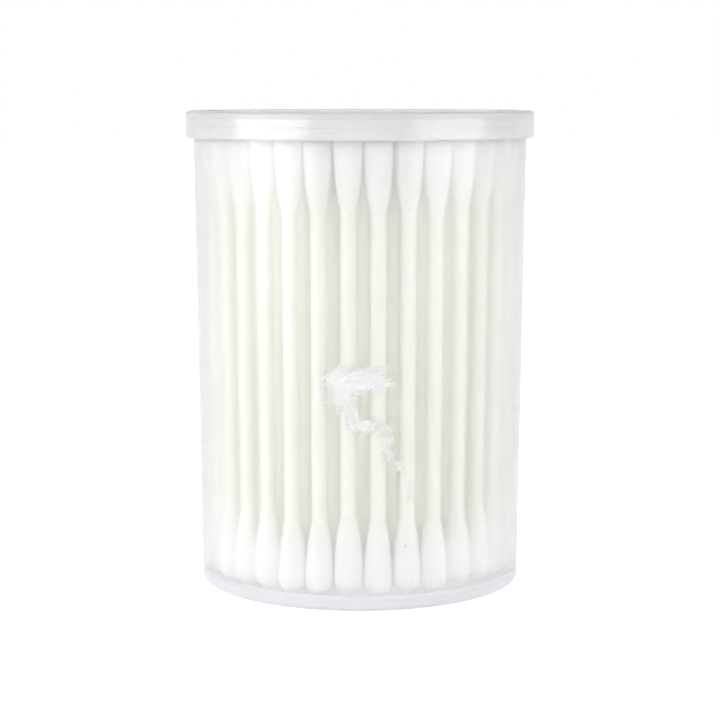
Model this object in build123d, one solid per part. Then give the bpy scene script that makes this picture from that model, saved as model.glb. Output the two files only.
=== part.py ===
from build123d import *
import math
import os
import random

# Cotton swab tub: a clear round tub with a press-on lid, packed with double-ended
# cotton swabs that stand upright in rings.  Millimetres, +Z up, front towards -Y.
# The origin is on the tub's axis, on the surface that the tub stands on.

# ---- Swabs --------------------------------------------------------------------
swab_length = 75.0        # over both cotton tips
stick_diameter = 2.5      # rolled paper stick
tip_diameter = 4.4        # cotton, at its widest
tip_length = 12.3         # from the rounded end to the neck
tip_barrel = 0.8          # straight stretch above the rounded end
tip_neck_wall = 0.12      # cotton left on the stick at the neck
tip_cap = 1.6             # cotton beyond the end of the stick
winding_gap = 0.02        # between the stick and the bore of its tip

# ---- Packing of the swabs -----------------------------------------------------
side_gap = 0.15           # least gap between neighbouring tips of one ring
ring_gap = 0.10           # between the tips of one ring and of the next
wall_gap = 0.25           # between the outer ring's tips and the tub's wall
standing_gap = 0.10       # between the lowest tips and the tub's floor
headroom = 2.18           # from a swab that stands lowest to the tub's rim
lift_range = 0.80         # how much higher some swabs sit than others
wander_share = 0.40       # share of a ring's spare room that a swab may wander
placed_angles = [-4.35, 1.275]   # first swab of the two outer rings, degrees from the front
packing_seed = 61658

# ---- Tub ----------------------------------------------------------------------
tub_base_diameter = 54.26
draft_angle = 0.74        # degrees that the wall leans outwards
tub_wall = 0.9
tub_floor = 1.1
foot_height = 0.5         # the floor is held clear of the table by this much
foot_width = 1.8          # of the ring that the tub stands on
base_corner = 0.7         # radius around the outside of the base
floor_corner = 0.4        # radius where the inside wall meets the floor
bead_height = 1.5         # rim bead that holds the lid
bead_proud = 0.28
bead_corner = 0.25

# ---- Lid ----------------------------------------------------------------------
lid_panel = 1.1
lid_wall = 0.9
skirt_depth = 4.5         # from the lid's top to the skirt's lower edge
lid_gap = 0.05            # between the skirt and the rim bead, all round
seat_gap = 0.02           # between the panel and the rim that it sits on
lid_corner = 0.6          # radius around the top of the lid
skirt_corner = 0.35       # radius at the skirt's lower edge
stack_recess = 0.35       # depth of the lid's middle below its raised rim
stack_gap = 0.5           # room for another tub's foot inside the raised rim

# ---- Sizes that follow --------------------------------------------------------
stick_radius = stick_diameter / 2
tip_radius = tip_diameter / 2
base_radius = tub_base_diameter / 2
floor_top = foot_height + tub_floor
swab_bottom = floor_top + standing_gap
tub_height = swab_bottom + swab_length + headroom
bead_bottom = tub_height - bead_height
lid_seat = tub_height + seat_gap
overall_height = lid_seat + lid_panel
skirt_bottom = overall_height - skirt_depth


def outer_radius(height):
    """Outside of the tub's drafted wall at a height."""
    return base_radius + height * math.tan(math.radians(draft_angle))


def inner_radius(height):
    """Inside of the tub's drafted wall at a height."""
    return outer_radius(height) - tub_wall


bead_radius = outer_radius(bead_bottom) + bead_proud
skirt_inside = bead_radius + lid_gap
lid_radius = skirt_inside + lid_wall


def turned(outline, corners=()):
    """Revolve a half section, given as (radius, height) points, about the Z axis.

    corners lists the points of the outline that are rounded, each with its radius.
    """
    section = make_face(Polyline(*outline, close=True))
    for corner, radius in corners:
        vertex = section.vertices().sort_by_distance(corner)[0]
        section = fillet(vertex, radius)
    return revolve(Plane.XZ * section, axis=Axis.Z)


def make_tub():
    """One moulded shell: foot ring, floor, drafted wall and rim bead."""
    foot_inside = base_radius - foot_width
    outline = [
        (0, foot_height),
        (foot_inside, foot_height),
        (foot_inside, 0),
        (base_radius, 0),
        (outer_radius(bead_bottom), bead_bottom),
        (bead_radius, bead_bottom),
        (bead_radius, tub_height),
        (inner_radius(tub_height), tub_height),
        (inner_radius(floor_top), floor_top),
        (0, floor_top),
    ]
    corners = [
        ((base_radius, 0), base_corner),
        ((bead_radius, bead_bottom), bead_corner),
        ((bead_radius, tub_height), bead_corner),
        ((inner_radius(floor_top), floor_top), floor_corner),
    ]
    return turned(outline, corners)


def make_lid():
    """Panel with a raised stacking rim, and a skirt that reaches over the bead."""
    rim_inside = base_radius + stack_gap
    recess_floor = overall_height - stack_recess
    outline = [
        (0, lid_seat),
        (skirt_inside, lid_seat),
        (skirt_inside, skirt_bottom),
        (lid_radius, skirt_bottom),
        (lid_radius, overall_height),
        (rim_inside, overall_height),
        (rim_inside - stack_recess, recess_floor),
        (0, recess_floor),
    ]
    corners = [
        ((lid_radius, overall_height), lid_corner),
        ((lid_radius, skirt_bottom), skirt_corner),
    ]
    return turned(outline, corners)


def make_stick():
    """Paper stick, standing on the origin."""
    length = swab_length - 2 * tip_cap
    return Pos(0, 0, tip_cap) * Cylinder(
        stick_radius, length, align=(Align.CENTER, Align.CENTER, Align.MIN)
    )


def make_tip():
    """Cotton tip, its rounded end on the origin and its neck upwards.

    The stick's end sits in a blind bore.
    """
    bore = stick_radius + winding_gap
    bore_bottom = tip_cap - winding_gap
    neck = stick_radius + tip_neck_wall
    barrel_top = tip_radius + tip_barrel
    rounded_end = CenterArc((0, tip_radius), tip_radius, -90, 90)
    barrel = Line((tip_radius, tip_radius), (tip_radius, barrel_top))
    taper = TangentArc((tip_radius, barrel_top), (neck, tip_length), tangent=(0, 1))
    inside = Polyline((neck, tip_length), (bore, tip_length), (bore, bore_bottom), (0, bore_bottom), (0, 0))
    section = make_face([rounded_end, barrel, taper, inside])
    return revolve(Plane.XZ * section, axis=Axis.Z)


def plan_rings():
    """Radius and number of swabs of each ring at the floor, from the wall inwards.

    The rings close in until only one swab fits, which stands in the middle.
    """
    rings = []
    pitch = tip_diameter + side_gap
    radius = inner_radius(swab_bottom + tip_radius) - wall_gap - tip_radius
    while radius >= pitch / 2:
        count = math.floor(math.pi / math.asin(pitch / (2 * radius)))
        rings.append((radius, count))
        radius -= tip_diameter + ring_gap
    rings.append((0.0, 1))
    return rings


def on_ring(radius, angle, height):
    """Point at an angle in degrees from the front, counted towards +X."""
    turn = math.radians(angle)
    return Vector(radius * math.sin(turn), -radius * math.cos(turn), height)


def place_swabs(ring_number, radius, count, spread, chance):
    """Lower and upper end of each swab of one ring, leaning with the tub's wall."""
    first = chance.uniform(0, 360)
    if ring_number < len(placed_angles):
        first = placed_angles[ring_number]
    spare = 0.0
    if count > 1:
        spare = 2 * radius * math.sin(math.pi / count) - tip_diameter
    wander = math.degrees(wander_share * spare / radius) if radius else 0.0
    swabs = []
    for number in range(count):
        angle = first + number * 360 / count
        bottom = swab_bottom + chance.uniform(0, lift_range)
        lower = on_ring(radius, angle + chance.uniform(-wander, wander) / 2, bottom)
        upper = on_ring(radius * spread, angle + chance.uniform(-wander, wander) / 2, bottom + swab_length)
        swabs.append((lower, upper))
    return swabs


def write_node(name, shapes):
    """One STEP file for a node, which may be a group of separate solids."""
    solids = [solid for shape in shapes for solid in shape.solids()]
    group = solids[0] if len(solids) == 1 else Compound(children=solids)
    export_step(group, f"parts/{name}.step")


def main():
    os.makedirs("parts", exist_ok=True)
    write_node("tub", [make_tub()])
    write_node("lid", [make_lid()])
    stick = make_stick()
    tip = make_tip()
    chance = random.Random(packing_seed)
    rings = plan_rings()
    outer_ring = rings[0][0]
    lean = (swab_length - tip_diameter) * math.tan(math.radians(draft_angle))
    spread = 1 + lean / outer_ring
    for ring_number, (radius, count) in enumerate(rings):
        name = f"ring_{ring_number + 1}" if count > 1 else "centre"
        swabs = place_swabs(ring_number, radius, count, spread, chance)
        upright = [Plane(lower, z_dir=upper - lower).location for lower, upper in swabs]
        hanging = [Plane(upper, z_dir=lower - upper).location for lower, upper in swabs]
        write_node(f"{name}_sticks", [place * stick for place in upright])
        write_node(f"{name}_lower_tips", [place * tip for place in upright])
        write_node(f"{name}_upper_tips", [place * tip for place in hanging])


main()
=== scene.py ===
# %% [markdown]
# # Cotton swab tub
#
# The model is a clear round tub with a press-on lid, packed with about a hundred
# double-ended cotton swabs.  The construction comes from a CAD frame that is already
# packed: it says how large each piece is, where it stands and what moves with what.
# This lesson gives those pieces their looks: clear moulded plastic, rolled paper
# sticks and wound cotton.
#
# Everything is in metres, with +Z up, the front towards -Y, and the origin under the
# middle of the tub, on the surface that it stands on.

# %% Load the frame
import math
import random

import bmesh
import bpy
from mathutils import Matrix, Vector, noise


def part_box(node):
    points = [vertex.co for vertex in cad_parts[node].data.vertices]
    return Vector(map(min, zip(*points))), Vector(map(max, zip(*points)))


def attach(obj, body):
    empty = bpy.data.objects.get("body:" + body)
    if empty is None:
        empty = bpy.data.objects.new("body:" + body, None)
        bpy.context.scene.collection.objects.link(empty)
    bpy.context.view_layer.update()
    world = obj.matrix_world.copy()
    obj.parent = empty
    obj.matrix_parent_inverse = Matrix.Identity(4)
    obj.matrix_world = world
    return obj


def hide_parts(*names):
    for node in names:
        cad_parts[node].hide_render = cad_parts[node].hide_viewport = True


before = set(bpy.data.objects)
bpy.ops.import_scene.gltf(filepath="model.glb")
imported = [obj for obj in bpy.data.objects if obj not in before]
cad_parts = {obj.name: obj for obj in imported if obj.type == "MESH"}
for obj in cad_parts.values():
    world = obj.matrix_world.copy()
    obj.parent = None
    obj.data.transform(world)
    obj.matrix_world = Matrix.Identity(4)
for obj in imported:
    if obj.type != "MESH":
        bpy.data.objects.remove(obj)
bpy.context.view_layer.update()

MM = 0.001

# %% [markdown]
# ## Camera
#
# A tub this small is photographed from close by with a long lens, so that its sides
# stay almost parallel.  The camera stands just above the height of the lid and looks
# slightly down, which shows the lid as a thin band and the base as a shallow curve.

# %% Camera
LENS = 101.49
SENSOR = 36.0
CAMERA_PLACE = (0.0, -346.1 * MM, 83.23 * MM)
CAMERA_PITCH = math.radians(7.548)

camera_data = bpy.data.cameras.new("camera")
camera_data.lens = LENS
camera_data.sensor_width = SENSOR
camera_data.clip_start = 10 * MM
camera = bpy.data.objects.new("camera", camera_data)
camera.location = CAMERA_PLACE
camera.rotation_euler = (math.pi / 2 - CAMERA_PITCH, 0, 0)
bpy.context.scene.collection.objects.link(camera)
bpy.context.scene.camera = camera
print("camera at", CAMERA_PLACE)

# %% [markdown]
# ## Places read from the frame
#
# Each swab's place is read from its CAD stick, so that the cotton modelled here lands
# exactly where the construction holds it.  A CAD node is a group of loose triangles,
# so a copy is merged first and then split into its separate sticks.

# %% Read every stick
MERGE = 0.001 * MM
RINGS = sorted(name[: -len("_sticks")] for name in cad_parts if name.endswith("_sticks"))


def islands(bm):
    """Groups of vertices that edges join, always in the same order."""
    reached = set()
    groups = []
    for start in bm.verts:
        if start in reached:
            continue
        reached.add(start)
        group = [start]
        for vert in group:
            others = [edge.other_vert(vert) for edge in vert.link_edges]
            fresh = [other for other in others if other not in reached]
            reached.update(fresh)
            group.extend(fresh)
        groups.append(group)
    return groups


def stick_ends(node):
    """Lower and upper end of each stick in a CAD node, at the middle of its end face."""
    bm = bmesh.new()
    bm.from_mesh(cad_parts[node].data)
    bmesh.ops.remove_doubles(bm, verts=bm.verts, dist=MERGE)
    ends = []
    for group in islands(bm):
        middle = sum(v.co.z for v in group) / len(group)
        low = [v.co for v in group if v.co.z < middle]
        high = [v.co for v in group if v.co.z >= middle]
        ends.append((sum(low, Vector()) / len(low), sum(high, Vector()) / len(high)))
    bm.free()
    ends.sort(key=lambda pair: math.atan2(pair[0].x, -pair[0].y))
    return ends


sticks = {ring: stick_ends(f"{ring}_sticks") for ring in RINGS}
tip_low, tip_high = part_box("centre_upper_tips")
stick_low, stick_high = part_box("centre_sticks")
STICK_RADIUS = (stick_high.x - stick_low.x) / 2
TIP_RADIUS = (tip_high.x - tip_low.x) / 2
TIP_LENGTH = tip_high.z - tip_low.z
TIP_CAP = tip_high.z - stick_high.z
print({ring: len(ends) for ring, ends in sticks.items()}, "sticks")
print("stick radius", round(STICK_RADIUS / MM, 2), "mm")
print("tip radius, length, cap", [round(size / MM, 2) for size in (TIP_RADIUS, TIP_LENGTH, TIP_CAP)], "mm")

# %% [markdown]
# ## Helpers for meshes
#
# Every piece starts as a bmesh and is shaped with bmesh operators.  A finished piece
# keeps its object at the origin, with its place in its mesh, and rides on the CAD body
# that carries it.


# %% Turn a bmesh into a piece
def finish_piece(bm, name, body, materials, replaced=()):
    """A scene object from a bmesh, riding on a body and standing for CAD nodes."""
    mesh = bpy.data.meshes.new(name)
    bm.to_mesh(mesh)
    bm.free()
    mesh.polygons.foreach_set("use_smooth", [True] * len(mesh.polygons))
    for material in materials:
        mesh.materials.append(material)
    piece = bpy.data.objects.new(name, mesh)
    bpy.context.scene.collection.objects.link(piece)
    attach(piece, body)
    if replaced:
        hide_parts(*replaced)
    print(name, len(mesh.polygons), "faces")
    return piece


def spin_section(outline, steps):
    """Spin a half section of (radius, height) points about Z; its ends lie on the axis."""
    bm = bmesh.new()
    verts = [bm.verts.new((radius, 0, height)) for radius, height in outline]
    edges = [bm.edges.new(pair) for pair in zip(verts, verts[1:])]
    bmesh.ops.spin(
        bm, geom=verts + edges, cent=(0, 0, 0), axis=(0, 0, 1),
        angle=math.tau, steps=steps, use_merge=True,
    )
    bmesh.ops.remove_doubles(bm, verts=bm.verts, dist=MERGE / 10)
    bmesh.ops.recalc_face_normals(bm, faces=bm.faces)
    return bm


def round_edge(bm, radius, height, width, segments):
    """Round the circular edge that runs at a radius and height."""
    near = 0.02 * MM

    def on_circle(vert):
        return abs(vert.co.xy.length - radius) < near and abs(vert.co.z - height) < near

    edges = [e for e in bm.edges if on_circle(e.verts[0]) and on_circle(e.verts[1])]
    bmesh.ops.bevel(
        bm, geom=edges, offset=width, segments=segments, profile=0.5,
        affect="EDGES", material=-1, clamp_overlap=True,
    )


# %% [markdown]
# ## Shared shader groups
#
# Two effects are used by more than one material.  *Moulding marks* are the faint clouds
# and draw lines of clear moulded plastic.  *Fibre grain* is the fine streaking of paper
# and cotton.  Each is built once as a node group that puts out only values that change
# over the surface, and each material places it with its own numbers.


# %% Node group helpers
def new_group(name, inputs, outputs):
    """An empty shader group with float inputs (name, default) and typed outputs."""
    group = bpy.data.node_groups.new(name, "ShaderNodeTree")
    for label, default in inputs:
        socket = group.interface.new_socket(label, in_out="INPUT", socket_type="NodeSocketFloat")
        socket.default_value = default
    for label, kind in outputs:
        group.interface.new_socket(label, in_out="OUTPUT", socket_type=kind)
    return group, group.nodes.new("NodeGroupInput"), group.nodes.new("NodeGroupOutput")


def noise_node(tree, coordinates, detail=3.0, roughness=0.5, distortion=0.0):
    """A noise texture read at some coordinates, still without its scale."""
    node = tree.nodes.new("ShaderNodeTexNoise")
    node.inputs["Detail"].default_value = detail
    node.inputs["Roughness"].default_value = roughness
    node.inputs["Distortion"].default_value = distortion
    tree.links.new(coordinates, node.inputs["Vector"])
    return node


def stretched(tree, coordinates, scale):
    """Coordinates stretched by a plain vector."""
    node = tree.nodes.new("ShaderNodeMapping")
    node.inputs["Scale"].default_value = scale
    tree.links.new(coordinates, node.inputs["Vector"])
    return node.outputs["Vector"]


def spread_range(tree, value, low, high, start=0.0, end=1.0):
    """Map a value from start..end to low..high, and hold it there beyond both."""
    node = tree.nodes.new("ShaderNodeMapRange")
    node.inputs["From Min"].default_value = start
    node.inputs["From Max"].default_value = end
    node.inputs["To Min"].default_value = low
    node.inputs["To Max"].default_value = high
    tree.links.new(value, node.inputs["Value"])
    return node.outputs["Result"]


def add_values(tree, first, second, share):
    """first + share * second."""
    node = tree.nodes.new("ShaderNodeMath")
    node.operation = "MULTIPLY_ADD"
    tree.links.new(second, node.inputs[0])
    node.inputs[1].default_value = share
    tree.links.new(first, node.inputs[2])
    return node.outputs["Value"]


def object_place(tree):
    """Coordinates of the piece itself, which is the whole tub's frame."""
    return tree.nodes.new("ShaderNodeTexCoord").outputs["Object"]


# %% Moulding marks
DRAWN_OUT = (1.0, 1.0, 0.12)


def build_moulding_marks():
    """Clouds (slow) and ripples (fine, drawn out upwards) of moulded plastic."""
    group, start, end = new_group(
        "moulding_marks",
        [("Cloud Scale", 70.0), ("Ripple Scale", 400.0)],
        [("Cloud", "NodeSocketFloat"), ("Ripple", "NodeSocketFloat")],
    )
    place = object_place(group)
    cloud = noise_node(group, place, detail=2.0)
    ripple = noise_node(group, stretched(group, place, DRAWN_OUT), detail=2.0)
    group.links.new(start.outputs["Cloud Scale"], cloud.inputs["Scale"])
    group.links.new(start.outputs["Ripple Scale"], ripple.inputs["Scale"])
    group.links.new(cloud.outputs["Fac"], end.inputs["Cloud"])
    group.links.new(ripple.outputs["Fac"], end.inputs["Ripple"])
    return group


MOULDING_MARKS = build_moulding_marks()
print("group", MOULDING_MARKS.name)


# %% Fibre grain
STREAKED = (1.0, 1.0, 0.25)


def build_fibre_grain():
    """Fine streaks along Z and a slower mottle, for paper and cotton."""
    group, start, end = new_group(
        "fibre_grain",
        [("Grain Scale", 2500.0), ("Mottle Scale", 300.0)],
        [("Grain", "NodeSocketFloat"), ("Mottle", "NodeSocketFloat")],
    )
    place = object_place(group)
    grain = noise_node(group, stretched(group, place, STREAKED), roughness=0.6, distortion=0.4)
    mottle = noise_node(group, place, detail=2.0)
    group.links.new(start.outputs["Grain Scale"], grain.inputs["Scale"])
    group.links.new(start.outputs["Mottle Scale"], mottle.inputs["Scale"])
    group.links.new(grain.outputs["Fac"], end.inputs["Grain"])
    group.links.new(mottle.outputs["Fac"], end.inputs["Mottle"])
    return group


FIBRE_GRAIN = build_fibre_grain()
print("group", FIBRE_GRAIN.name)


# %% Material helpers
def new_material(name):
    """A material with its node tree and its Principled shader."""
    material = bpy.data.materials.new(name)
    material.use_nodes = True
    return material, material.node_tree, material.node_tree.nodes["Principled BSDF"]


def place_group(tree, group, **values):
    """Put a shared group into a material with its own numbers, as in Grain_Scale=3000."""
    node = tree.nodes.new("ShaderNodeGroup")
    node.node_tree = group
    for label, value in values.items():
        node.inputs[label.replace("_", " ")].default_value = value
    return node.outputs


def mix_colours(tree, value, first, second):
    """Colour that goes from first to second, each a socket or a plain colour, with a value."""
    node = tree.nodes.new("ShaderNodeMix")
    node.data_type = "RGBA"
    factor, colour_a, colour_b = node.inputs[0], node.inputs[6], node.inputs[7]
    tree.links.new(value, factor)
    for colour, socket in ((first, colour_a), (second, colour_b)):
        if isinstance(colour, tuple):
            socket.default_value = (*colour, 1)
        else:
            tree.links.new(colour, socket)
    return node.outputs[2]


def height_of(tree, coordinates, axis="Z"):
    """One axis of some coordinates."""
    node = tree.nodes.new("ShaderNodeSeparateXYZ")
    tree.links.new(coordinates, node.inputs["Vector"])
    return node.outputs[axis]


def bump(tree, height, strength, distance):
    """Normal from a height that changes over the surface."""
    node = tree.nodes.new("ShaderNodeBump")
    node.inputs["Strength"].default_value = strength
    node.inputs["Distance"].default_value = distance
    tree.links.new(height, node.inputs["Height"])
    return node.outputs["Normal"]


# %% [markdown]
# ## Clear plastic
#
# The tub and the lid are moulded from clear plastic that is slightly milky: the swabs
# behind it look a little soft and pale.  It could be clean glass with a white film over
# it, but plastic that scatters a little by itself looks right from every side.  So most
# of the light is transmitted, with a low roughness for the softness, and the small share
# that isn't gives the milky veil.  The moulding marks vary the haze slowly over the wall
# and ripple it very slightly.  A weak sheen adds a bloom at shallow angles, and the
# plastic is painted a touch greyer towards the rim: painted shade that dims the tops of
# the swabs below the lid.
#
# Thick corners of clear plastic trap light and look denser and darker than the wall.  The
# foot of the tub and the rim of the lid are therefore painted in darker grey versions of
# the same plastic, painted shade for that dim look, and a narrow band softens the change
# from foot to wall.


# %% Clear plastic
# Heights over which the tub's plastic is painted darker towards the rim: painted shade below the lid.
RIM_SHADE_HEIGHTS = (56 * MM, 72 * MM)
PLASTIC_IOR = 1.49
BLOOM = 0.1


def build_clear_plastic(name, low, high, transmission, haze, ripple_depth, painted_rim_shade=1.0):
    """Milky clear plastic.

    low and high are the colours that it varies between, and haze is the range of its
    roughness.  painted_rim_shade is its brightness at the rim, a painted shade, where 1 is as bright as
    below.
    """
    material, tree, shader = new_material(name)
    marks = place_group(tree, MOULDING_MARKS, Cloud_Scale=60.0, Ripple_Scale=350.0)
    shader.inputs["Transmission Weight"].default_value = transmission
    shader.inputs["IOR"].default_value = PLASTIC_IOR
    shader.inputs["Sheen Weight"].default_value = BLOOM
    shader.inputs["Sheen Roughness"].default_value = 0.6
    clear = mix_colours(tree, marks["Cloud"], low, high)
    # Painted shade: the colour darkens from the lower height to the upper one.
    rise = spread_range(tree, height_of(tree, object_place(tree)), 0.0, 1.0, *RIM_SHADE_HEIGHTS)
    rim_shaded = mix_colours(tree, rise, clear, tuple(channel * painted_rim_shade for channel in high))
    tree.links.new(rim_shaded, shader.inputs["Base Color"])
    tree.links.new(spread_range(tree, marks["Cloud"], *haze), shader.inputs["Roughness"])
    tree.links.new(bump(tree, marks["Ripple"], 0.3, ripple_depth), shader.inputs["Normal"])
    return material


print("clear plastic with an index of refraction of", PLASTIC_IOR)

# %% Plastics of the tub and the lid
# The tub's plastic ends about 4 % darker at the rim, painted shade over the tops of the swabs.
TUB_PLASTIC = build_clear_plastic(
    "tub_plastic", (0.96, 0.965, 0.97), (0.98, 0.985, 0.985), 0.89, (0.19, 0.27), 0.02 * MM, 0.957
)
# Painted shade: the foot, the band above it and the lid's rim are darker and greyer than the wall, for the
# dim look of thick plastic.
SHADED_BASE_PLASTIC = build_clear_plastic(
    "shaded_base_plastic", (0.72, 0.73, 0.77), (0.78, 0.79, 0.83), 0.50, (0.30, 0.45), 0.03 * MM
)
SHADED_BAND_PLASTIC = build_clear_plastic(
    "shaded_band_plastic", (0.84, 0.85, 0.875), (0.88, 0.89, 0.91), 0.72, (0.24, 0.36), 0.03 * MM
)
LID_PLASTIC = build_clear_plastic(
    "lid_plastic", (0.94, 0.945, 0.95), (0.965, 0.97, 0.975), 0.80, (0.18, 0.26), 0.02 * MM
)
SHADED_RIM_PLASTIC = build_clear_plastic(
    "shaded_rim_plastic", (0.55, 0.555, 0.555), (0.61, 0.615, 0.615), 0.50, (0.25, 0.40), 0.03 * MM
)
for plastic in (TUB_PLASTIC, SHADED_BASE_PLASTIC, SHADED_BAND_PLASTIC, LID_PLASTIC, SHADED_RIM_PLASTIC):
    print("plastic", plastic.name)

# %% [markdown]
# ## Paper, cotton and seed husk
#
# The sticks are off-white paper and the tips are bleached cotton.  Pictures of both
# could be wrapped round each swab, but their streaks are so fine that a noise stretched
# along the swab gives the same look at any distance and needs no unwrapping.  Cotton is
# rougher than paper, scatters more and has a soft sheen from its loose ends.
#
# The cotton thins out towards its neck until the paper shows through it.  Each tip
# carries a UV map named "along", whose height runs from its end to its neck, and the
# cotton's colour blends to the paper's with it.  The husk is the hard brown skin of a
# cotton seed, which turns up in cotton as a dark fleck.

# %% Paper
PAPER_SHADE = (0.99, 0.982, 0.892)
PAPER_LIGHT = (0.997, 0.993, 0.922)
GRAIN_SHARE = 0.6
SHADE_RANGE = (0.5, 1.1)


def fibre_shade(tree, grain):
    """Light and dark of fibres: the slow mottle with some of the fine grain on it."""
    shade = add_values(tree, grain["Mottle"], grain["Grain"], GRAIN_SHARE)
    return spread_range(tree, shade, 0.0, 1.0, *SHADE_RANGE)


def build_paper():
    """Off-white rolled paper with a fine grain."""
    material, tree, shader = new_material("rolled_paper")
    grain = place_group(tree, FIBRE_GRAIN, Grain_Scale=3000.0, Mottle_Scale=250.0)
    colour = mix_colours(tree, fibre_shade(tree, grain), PAPER_SHADE, PAPER_LIGHT)
    tree.links.new(colour, shader.inputs["Base Color"])
    tree.links.new(spread_range(tree, grain["Grain"], 0.5, 0.75), shader.inputs["Roughness"])
    tree.links.new(bump(tree, grain["Grain"], 0.5, 0.02 * MM), shader.inputs["Normal"])
    return material


PAPER = build_paper()
print("paper", PAPER.name)

# %% Cotton
COTTON_SHADE = (0.97, 0.97, 0.958)
COTTON_LIGHT = (0.99, 0.99, 0.98)
THINNING_START = 0.55
PAPER_SHARE = 0.9


def build_cotton():
    """Bright matte cotton with a soft sheen; it thins to the paper's colour at the neck."""
    material, tree, shader = new_material("wound_cotton")
    grain = place_group(tree, FIBRE_GRAIN, Grain_Scale=4000.0, Mottle_Scale=500.0)
    shade = fibre_shade(tree, grain)
    white = mix_colours(tree, shade, COTTON_SHADE, COTTON_LIGHT)
    along = tree.nodes.new("ShaderNodeUVMap")
    along.uv_map = "along"
    run = height_of(tree, along.outputs["UV"], "Y")
    thinning = spread_range(tree, run, 0.0, PAPER_SHARE, THINNING_START, 1.0)
    tree.links.new(mix_colours(tree, thinning, white, PAPER_LIGHT), shader.inputs["Base Color"])
    tree.links.new(spread_range(tree, grain["Grain"], 0.85, 1.0), shader.inputs["Roughness"])
    tree.links.new(bump(tree, shade, 0.6, 0.05 * MM), shader.inputs["Normal"])
    shader.inputs["Sheen Weight"].default_value = 0.3
    shader.inputs["Sheen Roughness"].default_value = 0.5
    shader.inputs["Specular IOR Level"].default_value = 0.2
    return material


COTTON = build_cotton()
print("cotton", COTTON.name)

# %% Seed husk
def build_husk():
    """Dark brown seed husk with paler fibres across it."""
    material, tree, shader = new_material("seed_husk")
    grain = place_group(tree, FIBRE_GRAIN, Grain_Scale=9000.0, Mottle_Scale=4000.0)
    brown = mix_colours(tree, grain["Grain"], (0.05, 0.03, 0.02), (0.22, 0.16, 0.10))
    tree.links.new(brown, shader.inputs["Base Color"])
    tree.links.new(spread_range(tree, grain["Mottle"], 0.6, 0.9), shader.inputs["Roughness"])
    return material


HUSK = build_husk()
print("husk", HUSK.name)

# %% [markdown]
# ## Tub
#
# The tub is one moulded shell, so it is one spun section: a recessed underside, a narrow
# foot ring, a floor, a wall that leans outwards by the draft that lets it leave its
# mould, and a bead around the rim that holds the lid.  Every size is the CAD part's own;
# the spin only makes it rounder and gives it soft edges.

# %% Sizes of the tub
BASE_RADIUS = 27.13 * MM
DRAFT = math.radians(0.74)
WALL = 0.9 * MM
FOOT_HEIGHT = 0.5 * MM
FOOT_WIDTH = 1.8 * MM
FLOOR_TOP = 1.6 * MM
BASE_BAND = 2.0 * MM
BAND_EDGE = 2.6 * MM
BEAD_HEIGHT = 1.5 * MM
BASE_CORNER = 0.7 * MM
FLOOR_CORNER = 0.4 * MM
BEAD_CORNER = 0.25 * MM
RIM_CORNER = 0.12 * MM
SHELL_STEPS = 192
FLAT_WEIGHT = 90
SMALL = 0.01 * MM
tub_low, tub_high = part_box("tub")
RIM_HEIGHT = tub_high.z
BEAD_RADIUS = tub_high.x
BEAD_BOTTOM = RIM_HEIGHT - BEAD_HEIGHT


def wall_outside(height):
    """Outer radius of the drafted wall."""
    return BASE_RADIUS + height * math.tan(DRAFT)


def wall_inside(height):
    """Inner radius of the drafted wall."""
    return wall_outside(height) - WALL


print("wall radius at the foot", round(BASE_RADIUS / MM, 2), "mm")
print("wall radius at the bead", round(wall_outside(BEAD_BOTTOM) / MM, 2), "mm")

# %% Tub shell
def make_tub():
    """The tub as one spun shell, with darker grey plastic on its foot and a band above it, painted shade
    for the thick plastic there.
    """
    foot_inside = BASE_RADIUS - FOOT_WIDTH
    outline = [
        (0, FOOT_HEIGHT),
        (foot_inside, FOOT_HEIGHT),
        (foot_inside, 0),
        (BASE_RADIUS, 0),
        (wall_outside(BASE_BAND), BASE_BAND),
        (wall_outside(BAND_EDGE), BAND_EDGE),
        (wall_outside(BEAD_BOTTOM), BEAD_BOTTOM),
        (BEAD_RADIUS, BEAD_BOTTOM),
        (BEAD_RADIUS, RIM_HEIGHT),
        (wall_inside(RIM_HEIGHT), RIM_HEIGHT),
        (wall_inside(FLOOR_TOP), FLOOR_TOP),
        (0, FLOOR_TOP),
    ]
    bm = spin_section(outline, SHELL_STEPS)
    round_edge(bm, BASE_RADIUS, 0, BASE_CORNER, 5)
    round_edge(bm, foot_inside, 0, RIM_CORNER, 3)
    round_edge(bm, wall_inside(FLOOR_TOP), FLOOR_TOP, FLOOR_CORNER, 4)
    round_edge(bm, BEAD_RADIUS, BEAD_BOTTOM, BEAD_CORNER, 4)
    round_edge(bm, BEAD_RADIUS, RIM_HEIGHT, BEAD_CORNER, 4)
    round_edge(bm, wall_inside(RIM_HEIGHT), RIM_HEIGHT, RIM_CORNER, 3)
    # Faces of the foot and of the band above it get the darker plastics: painted shade.
    for face in bm.faces:
        top = max(v.co.z for v in face.verts)
        nearest = min(v.co.xy.length for v in face.verts)
        if top < BASE_BAND + SMALL and nearest >= foot_inside - RIM_CORNER:
            face.material_index = 1
        elif top < BAND_EDGE + SMALL and nearest > BASE_RADIUS:
            face.material_index = 2
    finishes = [TUB_PLASTIC, SHADED_BASE_PLASTIC, SHADED_BAND_PLASTIC]
    return finish_piece(bm, "tub_shell", "tub", finishes, ["tub"])


def keep_flats_flat(piece):
    """Let the large faces set the normals, so that only the rounded edges shade round."""
    modifier = piece.modifiers.new("flats", "WEIGHTED_NORMAL")
    modifier.mode = "FACE_AREA"
    modifier.weight = FLAT_WEIGHT


tub_shell = make_tub()
keep_flats_flat(tub_shell)

# %% [markdown]
# ## Lid
#
# The lid is a flat panel with a short skirt that reaches down over the rim bead.  Its
# middle lies a little lower than its raised rim, so that another tub can stand on it.

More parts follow.
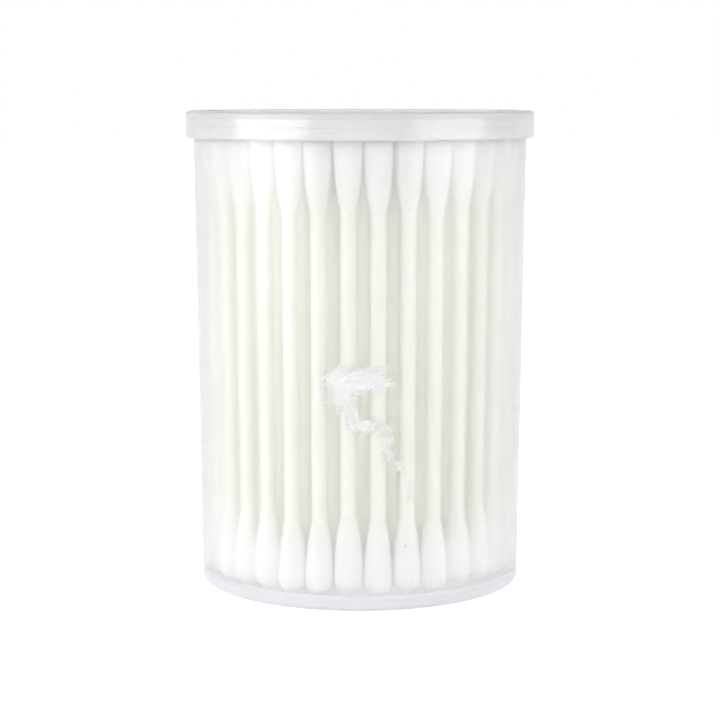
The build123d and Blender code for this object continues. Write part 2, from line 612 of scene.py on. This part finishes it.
# %% Sizes of the lid
LID_WALL = 0.9 * MM
STACK_RECESS = 0.35 * MM
STACK_GAP = 0.5 * MM
LID_CORNER = 0.6 * MM
SKIRT_CORNER = 0.35 * MM
SEAT_GAP = 0.02 * MM
lid_low, lid_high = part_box("lid")
LID_RADIUS = lid_high.x
SKIRT_INSIDE = LID_RADIUS - LID_WALL
LID_SEAT = RIM_HEIGHT + SEAT_GAP
print("lid radius and skirt depth", round(LID_RADIUS / MM, 2), round((LID_SEAT - lid_low.z) / MM, 2))


# %% Lid
def make_lid():
    """The lid as one spun shell, with darker grey plastic on its outer rim, painted shade for its thick
    edge.
    """
    rim_inside = BASE_RADIUS + STACK_GAP
    outline = [
        (0, LID_SEAT),
        (SKIRT_INSIDE, LID_SEAT),
        (SKIRT_INSIDE, lid_low.z),
        (LID_RADIUS, lid_low.z),
        (LID_RADIUS, LID_SEAT),
        (LID_RADIUS, lid_high.z),
        (rim_inside, lid_high.z),
        (rim_inside - STACK_RECESS, lid_high.z - STACK_RECESS),
        (0, lid_high.z - STACK_RECESS),
    ]
    bm = spin_section(outline, SHELL_STEPS)
    round_edge(bm, LID_RADIUS, lid_high.z, LID_CORNER, 5)
    round_edge(bm, LID_RADIUS, lid_low.z, SKIRT_CORNER, 4)
    round_edge(bm, SKIRT_INSIDE, lid_low.z, RIM_CORNER, 3)
    round_edge(bm, SKIRT_INSIDE, LID_SEAT, RIM_CORNER, 3)
    round_edge(bm, rim_inside, lid_high.z, RIM_CORNER, 3)
    round_edge(bm, rim_inside - STACK_RECESS, lid_high.z - STACK_RECESS, RIM_CORNER, 3)
    # Faces of the outer rim get the darker plastic: painted shade.
    for face in bm.faces:
        high_up = min(v.co.z for v in face.verts) > LID_SEAT - SMALL
        if high_up and min(v.co.xy.length for v in face.verts) > rim_inside + RIM_CORNER:
            face.material_index = 1
    return finish_piece(bm, "press_on_lid", "lid", [LID_PLASTIC, SHADED_RIM_PLASTIC], ["lid"])


press_on_lid = make_lid()
keep_flats_flat(press_on_lid)

# %% [markdown]
# ## Sticks
#
# Each stick is a strip of paper rolled tight, so it isn't quite a plain rod: the outer
# edge of the paper leaves a low step that runs the whole length.  A cylinder with a
# bump map could suggest the step, but it would vanish at the outline.  Here a circle is
# shrunk a little as it goes round, which makes one turn of a spiral, and is extruded
# upwards.  Two short courses at the ends keep the shading of the long one straight.

# %% Stick template
STICK_SIDES = 16
ROLL_STEP = 0.05 * MM
END_COURSE = 1.0 * MM


def make_stick_template(length):
    """One rolled stick that stands on the origin."""
    bm = bmesh.new()
    bmesh.ops.create_circle(bm, segments=STICK_SIDES, radius=STICK_RADIUS)
    for vert in bm.verts:
        turn = math.atan2(vert.co.y, vert.co.x) % math.tau
        vert.co *= 1 - ROLL_STEP / STICK_RADIUS * turn / math.tau
    ring_edges = list(bm.edges)
    bmesh.ops.contextual_create(bm, geom=ring_edges)
    for rise in (END_COURSE, length - 2 * END_COURSE, END_COURSE):
        grown = bmesh.ops.extrude_edge_only(bm, edges=ring_edges)["geom"]
        ring_verts = [item for item in grown if isinstance(item, bmesh.types.BMVert)]
        ring_edges = [item for item in grown if isinstance(item, bmesh.types.BMEdge)]
        ring_edges = [edge for edge in ring_edges if all(v in ring_verts for v in edge.verts)]
        bmesh.ops.translate(bm, vec=(0, 0, rise), verts=ring_verts)
    bmesh.ops.contextual_create(bm, geom=ring_edges)
    bmesh.ops.recalc_face_normals(bm, faces=bm.faces)
    return bm


def add_copy(bm, template, place):
    """Add a placed copy of a template and use the template up."""
    bmesh.ops.transform(template, matrix=place, verts=template.verts)
    part = bpy.data.meshes.new("part")
    template.to_mesh(part)
    template.free()
    bm.from_mesh(part)
    bpy.data.meshes.remove(part)


def aim_along(start, direction, turn):
    """Matrix that stands a template on a point, along a direction, turned about itself."""
    aim = direction.to_track_quat("Z", "Y").to_matrix().to_4x4()
    return Matrix.Translation(start) @ aim @ Matrix.Rotation(turn, 4, "Z")


# %% Sticks of every ring
chance = random.Random(4)


def make_sticks(ring):
    """All the sticks of one ring, as one piece."""
    bm = bmesh.new()
    for lower, upper in sticks[ring]:
        run = upper - lower
        place = aim_along(lower, run.normalized(), chance.uniform(0, math.tau))
        add_copy(bm, make_stick_template(run.length), place)
    finish_piece(bm, f"{ring}_paper_sticks", "tub", [PAPER], [f"{ring}_sticks"])


for ring in RINGS:
    make_sticks(ring)

# %% [markdown]
# ## Cotton tips
#
# Cotton is wound round each end of a stick.  A tip ends in a dome, is widest just above
# it, keeps its width for most of its length, and closes in a soft shoulder on the stick.
# Cotton could be made of thousands of hairs, but from any normal distance it reads as a
# dense soft body, so each tip is a spun section with slight lumps, and its fine fibres
# are left to the material.  The two hundred tips are one shape repeated, so those that
# stand behind others get few faces and only the outer ring gets a finer section.

# %% Tip section
TIP_BARREL = 1.2 * MM
NECK_WALL = 0.03 * MM
NECK_RUN = 0.5 * MM
SHOULDER = 2.6
SLIMMING = 0.3
SPACING = 0.85
FINE_TIP = {"steps": 20, "dome": 4, "taper": 8}
PLAIN_TIP = {"steps": 12, "dome": 2, "taper": 4}
OUTER_RING = max(RINGS, key=lambda ring: len(sticks[ring]))


def tip_radius_at(distance, radius, length):
    """Radius of a tip at a distance from its end."""
    if distance < radius:
        return math.sqrt(radius**2 - (radius - distance) ** 2)
    barrel_top = radius + TIP_BARREL
    share = min(1.0, max(0.0, (distance - barrel_top) / (length - barrel_top)))
    neck = STICK_RADIUS + NECK_WALL
    return neck + (radius - neck) * (1 - share**SHOULDER) * (1 - SLIMMING * share)


def tip_outline(radius, length, dome, taper):
    """(radius, distance) points of a tip from its end to its neck."""
    distances = [radius * (1 - math.cos(math.pi / 2 * step / dome)) for step in range(dome + 1)]
    barrel_top = radius + TIP_BARREL
    for step in range(1, taper + 1):
        closing = (step / taper) ** SPACING
        distances.append(barrel_top + (length - barrel_top) * closing)
    points = [(tip_radius_at(distance, radius, length), distance) for distance in distances]
    points[0] = (0, 0)
    points.append((STICK_RADIUS - 3 * NECK_WALL, length + NECK_RUN))
    points.append((0, length + NECK_RUN))
    return points


# %% Tip template
LUMP_SIZE = 1.8 * MM
LUMP_DEPTH = 0.07 * MM
LUMP_FADE = 0.8
LUMP_PLACE = Vector((7.3, 3.1, 5.7))


def make_tip_template(radius, length, seed, fineness):
    """One cotton tip on the origin, its dome at the bottom, slightly uneven."""
    outline = tip_outline(radius, length, fineness["dome"], fineness["taper"])
    bm = spin_section(outline, fineness["steps"])
    offset = LUMP_PLACE * seed
    for vert in bm.verts:
        away = Vector((vert.co.x, vert.co.y, 0))
        if away.length > STICK_RADIUS and vert.co.z < length:
            lump = LUMP_DEPTH * noise.noise(vert.co / LUMP_SIZE + offset)
            vert.co += away.normalized() * lump * (1 - LUMP_FADE * vert.co.z / length)
    along = bm.loops.layers.uv.new("along")
    for face in bm.faces:
        for loop in face.loops:
            turn = math.atan2(loop.vert.co.y, loop.vert.co.x) / math.tau + 0.5
            loop[along].uv = (turn, min(1.0, loop.vert.co.z / length))
    return bm


# %% Cotton of every ring
THICKNESSES = (1.0, 1.07)
LENGTHS = (0.97, 1.03)


def make_cotton(ring, end):
    """All the cotton of one ring's upper or lower tips, as one piece."""
    fineness = FINE_TIP if ring == OUTER_RING else PLAIN_TIP
    bm = bmesh.new()
    for lower, upper in sticks[ring]:
        axis = (upper - lower).normalized()
        start, direction = (lower, axis) if end == "lower" else (upper, -axis)
        radius = TIP_RADIUS * chance.uniform(*THICKNESSES)
        length = TIP_LENGTH * chance.uniform(*LENGTHS)
        tip = make_tip_template(radius, length, chance.uniform(0, 50), fineness)
        place = aim_along(start - direction * TIP_CAP, direction, chance.uniform(0, math.tau))
        add_copy(bm, tip, place)
    piece = finish_piece(bm, f"{ring}_{end}_cotton", "tub", [COTTON], [f"{ring}_{end}_tips"])


for ring in RINGS:
    for end in ("lower", "upper"):
        make_cotton(ring, end)

# %% [markdown]
# ## Loose cotton
#
# A little cotton has come off the tips and clings between the front sticks and the wall:
# one torn wisp that hangs over three sticks, and a few single fibres below it.  The wisp
# is made of bundles of thin strands.  Each strand is a curve with a round bevel that
# wanders as it goes, and all of them become one mesh.
#
# A hair system would also make strands, but a bevelled curve gives real closed tubes
# whose thickness and lie are easy to steer, and the wisp stays one solid-looking mesh.

# %% Strands along the wall
FIBRE_RADIUS = 0.05 * MM
STRAND_STEPS = 9
STRAND_CURL = 0.28
THINNEST_END = 0.35
FIRST_DEPTHS = (0.25, 0.55)
ANY_DEPTHS = (0.22, 0.65)
DEPTH_STEP = 0.1


def on_wall(across, height, depth):
    """Point at a distance across the front of the wall, a height, and a depth behind it."""
    radius = wall_inside(height) - depth
    turn = across / radius
    return Vector((radius * math.sin(turn), -radius * math.cos(turn), height))


def strand_path(start, heading, length):
    """Points of a strand that wanders from a start (across, height), close to the wall."""
    across, height = start
    shallowest, deepest = ANY_DEPTHS
    depth = chance.uniform(*FIRST_DEPTHS) * MM
    points = []
    for _ in range(STRAND_STEPS):
        points.append(on_wall(across, height, depth))
        heading += chance.gauss(0, STRAND_CURL)
        across += math.cos(heading) * length / STRAND_STEPS
        height += math.sin(heading) * length / STRAND_STEPS
        depth += chance.uniform(-DEPTH_STEP, DEPTH_STEP) * MM
        depth = min(deepest * MM, max(shallowest * MM, depth))
    return points


def add_strand(curve, points, thickness):
    """One strand, thinning out towards both ends."""
    spline = curve.splines.new("POLY")
    spline.points.add(len(points) - 1)
    for number, (item, point) in enumerate(zip(spline.points, points)):
        share = number / (len(points) - 1)
        item.co = (*point, 1)
        item.radius = thickness * (THINNEST_END + (1 - THINNEST_END) * math.sin(math.pi * share))


# %% Bundles of the wisp
# Each bundle: middle (across, height), half sizes, heading in degrees, spread, length,
# count, and thickness in fibres.
BUNDLES = [
    ((-2.7, 37.1), (1.8, 1.7), 8, 28, 3.2, 120, 4.0),
    ((0.4, 37.6), (1.8, 1.1), -4, 22, 3.0, 80, 3.8),
    ((3.1, 37.4), (1.2, 1.1), 10, 26, 2.4, 70, 3.6),
    ((-2.4, 34.2), (0.9, 1.4), -75, 20, 2.4, 56, 3.6),
    ((-1.2, 32.0), (0.7, 1.1), -80, 25, 1.8, 34, 3.0),
    ((0.7, 30.2), (2.3, 0.5), -5, 16, 2.1, 58, 3.0),
    ((-1.0, 36.8), (3.6, 2.0), 5, 60, 3.6, 60, 1.0),
    ((-1.6, 33.2), (1.4, 2.4), -75, 40, 2.6, 30, 1.0),
    ((3.9, 29.4), (0.5, 0.8), -65, 25, 1.6, 18, 2.8),
    ((4.4, 27.6), (0.3, 1.2), -45, 25, 1.5, 22, 3.0),
    ((4.6, 25.4), (0.3, 1.0), -40, 25, 1.4, 18, 3.0),
    ((6.2, 23.4), (0.2, 0.7), -70, 25, 1.7, 8, 2.8),
    ((8.8, 19.1), (0.3, 0.2), 15, 20, 1.4, 5, 2.6),
]
STRAND_COUNT = sum(bundle[5] for bundle in BUNDLES)
VARIETY = (0.6, 1.3)
CROWDING = 0.5
print(len(BUNDLES), "bundles of", STRAND_COUNT, "strands in all")


def add_bundle(curve, middle, half, heading, spread, length, count, thickness):
    """Add one bundle of strands, crowded towards its middle."""
    for _ in range(count):
        turn = math.radians(chance.gauss(heading, spread))
        run = length * MM * chance.uniform(*VARIETY)
        across = middle[0] * MM + half[0] * MM * chance.gauss(0, CROWDING) - math.cos(turn) * run / 2
        height = middle[1] * MM + half[1] * MM * chance.gauss(0, CROWDING) - math.sin(turn) * run / 2
        points = strand_path((across, height), turn, run)
        add_strand(curve, points, thickness * chance.uniform(*VARIETY))


# %% Torn wisp
def make_wisp():
    """All the bundles as one mesh of closed tubes."""
    curve = bpy.data.curves.new("wisp", "CURVE")
    curve.dimensions = "3D"
    curve.bevel_depth = FIBRE_RADIUS
    curve.bevel_resolution = 1
    curve.use_fill_caps = True
    for bundle in BUNDLES:
        add_bundle(curve, *bundle)
    holder = bpy.data.objects.new("wisp", curve)
    bpy.context.scene.collection.objects.link(holder)
    bpy.context.view_layer.update()
    mesh = bpy.data.meshes.new_from_object(holder.evaluated_get(bpy.context.evaluated_depsgraph_get()))
    bpy.data.objects.remove(holder)
    bpy.data.curves.remove(curve)
    bm = bmesh.new()
    bm.from_mesh(mesh)
    bpy.data.meshes.remove(mesh)
    bmesh.ops.recalc_face_normals(bm, faces=bm.faces)
    finish_piece(bm, "torn_wisp", "tub", [COTTON])


make_wisp()

# %% [markdown]
# ## Seed fleck
#
# One dark fleck of seed husk sits on a lower tip.  It is smaller than a grain of salt,
# so a small icosphere is enough: noise makes it uneven and a scale flattens it.

# %% Seed fleck
FLECK_SIZE = 0.16 * MM
FLECK_ACROSS = 7.3 * MM
FLECK_HEIGHT = 10.4 * MM
FLECK_SHAPE = (0.8, 0.5, 1.3)
FLECK_LUMPS = 0.5
FULLER_TIP = 1.04


def make_fleck():
    """A speck of seed husk on the front of the nearest lower tip."""
    near = Vector((FLECK_ACROSS, -wall_inside(FLECK_HEIGHT), 0))
    lower, upper = min(sticks[OUTER_RING], key=lambda pair: (pair[0] - near).length)
    axis = (upper - lower).normalized()
    middle = lower + axis * (FLECK_HEIGHT - lower.z)
    reach = tip_radius_at(FLECK_HEIGHT - lower.z + TIP_CAP, TIP_RADIUS * FULLER_TIP, TIP_LENGTH)
    side = FLECK_ACROSS - middle.x
    front = -math.sqrt(max(0.0, reach**2 - side**2))
    bm = bmesh.new()
    bmesh.ops.create_icosphere(bm, subdivisions=2, radius=FLECK_SIZE)
    for vert in bm.verts:
        vert.co *= 1 + FLECK_LUMPS * noise.noise(vert.co / FLECK_SIZE)
    bmesh.ops.scale(bm, vec=FLECK_SHAPE, verts=bm.verts)
    bmesh.ops.translate(bm, vec=middle + Vector((side, front, 0)), verts=bm.verts)
    finish_piece(bm, "seed_fleck", "tub", [HUSK])


make_fleck()

# %% [markdown]
# ## Studio
#
# The tub stands on a pale floor in a white tent.  One lamp would leave hard shadows that
# hide the swabs, so the light comes from all round: a bright surround, a large softbox on
# each side, the left one stronger so that the tub has a lighter and a darker side, and a
# small one in front.  The floor glows a little, as a white table lit from below does.

# %% Floor
FLOOR_RADIUS = 3.0
FLOOR_DROP = 0.02 * MM
FLOOR_GLOW = 0.92


def build_floor_material():
    """Pale matte table with a faint mottle and a glow of its own."""
    material, tree, shader = new_material("pale_floor")
    mottle = noise_node(tree, object_place(tree))
    mottle.inputs["Scale"].default_value = 8.0
    pale = mix_colours(tree, mottle.outputs["Fac"], (0.19, 0.19, 0.19), (0.21, 0.21, 0.21))
    tree.links.new(pale, shader.inputs["Base Color"])
    shader.inputs["Roughness"].default_value = 0.9
    shader.inputs["Emission Strength"].default_value = FLOOR_GLOW
    shader.inputs["Emission Color"].default_value = (1, 1, 1, 1)
    return material


floor_bm = bmesh.new()
bmesh.ops.create_circle(floor_bm, cap_ends=True, segments=96, radius=FLOOR_RADIUS)
bmesh.ops.translate(floor_bm, vec=(0, 0, -FLOOR_DROP), verts=floor_bm.verts)
floor_mesh = bpy.data.meshes.new("studio_floor")
floor_bm.to_mesh(floor_mesh)
floor_bm.free()
floor_mesh.materials.append(build_floor_material())
floor = bpy.data.objects.new("studio_floor", floor_mesh)
bpy.context.scene.collection.objects.link(floor)
print("floor", len(floor_mesh.polygons), "face")

# %% Surround
WORLD_LIGHT = 0.86
CEILING = 0.6
BACKDROP = 1.0
world = bpy.data.worlds.new("studio")
bpy.context.scene.world = world
world.use_nodes = True
sky = world.node_tree
surround = sky.nodes["Background"]
surround.inputs["Strength"].default_value = WORLD_LIGHT
direction = sky.nodes.new("ShaderNodeTexCoord").outputs["Generated"]
rise = spread_range(sky, height_of(sky, direction), 0.0, 1.0)
dimming = mix_colours(sky, rise, (1, 1, 1), (CEILING, CEILING, CEILING))
sky.links.new(dimming, surround.inputs["Color"])

# The tub is lit by the surround, but behind it stands a plain white backdrop.
backdrop = sky.nodes.new("ShaderNodeBackground")
backdrop.inputs["Color"].default_value = (1, 1, 1, 1)
backdrop.inputs["Strength"].default_value = BACKDROP
seen = sky.nodes.new("ShaderNodeLightPath").outputs["Is Camera Ray"]
choice = sky.nodes.new("ShaderNodeMixShader")
sky.links.new(seen, choice.inputs["Fac"])
sky.links.new(surround.outputs["Background"], choice.inputs[1])
sky.links.new(backdrop.outputs["Background"], choice.inputs[2])
sky.links.new(choice.outputs["Shader"], sky.nodes["World Output"].inputs["Surface"])
print("surround", WORLD_LIGHT, "backdrop", BACKDROP)


# %% Softboxes
def softbox(name, place, size, power):
    """A square area light that faces the middle of the tub."""
    data = bpy.data.lights.new(name, "AREA")
    data.size = size
    data.energy = power
    light = bpy.data.objects.new(name, data)
    light.location = place
    target = Vector((0, 0, (tub_low.z + lid_high.z) / 2))
    light.rotation_euler = (target - Vector(place)).to_track_quat("-Z", "Y").to_euler()
    bpy.context.scene.collection.objects.link(light)
    print("softbox", name, power, "W")


softbox("key", (-0.82, -0.46, 0.17), 0.95, 12.8)
softbox("fill", (0.80, -0.45, 0.20), 0.9, 8.0)
softbox("front", (0.0, -0.95, 0.25), 0.6, 1.2)

# The plain view transform keeps the white surround white.
bpy.context.scene.view_settings.view_transform = "Standard"

# %% [markdown]
# ## Light paths
#
# Light that enters the foot ring or the rim of the lid is reflected inside the plastic
# many times before it gets out.  With the usual number of bounces it is cut off on the
# way and those places turn black, so the scene allows more.

# %% Light paths
light_paths = bpy.context.scene.cycles
light_paths.max_bounces = 24
light_paths.transmission_bounces = 24
light_paths.glossy_bounces = 16
light_paths.diffuse_bounces = 8
print("light paths of up to", light_paths.max_bounces, "bounces")
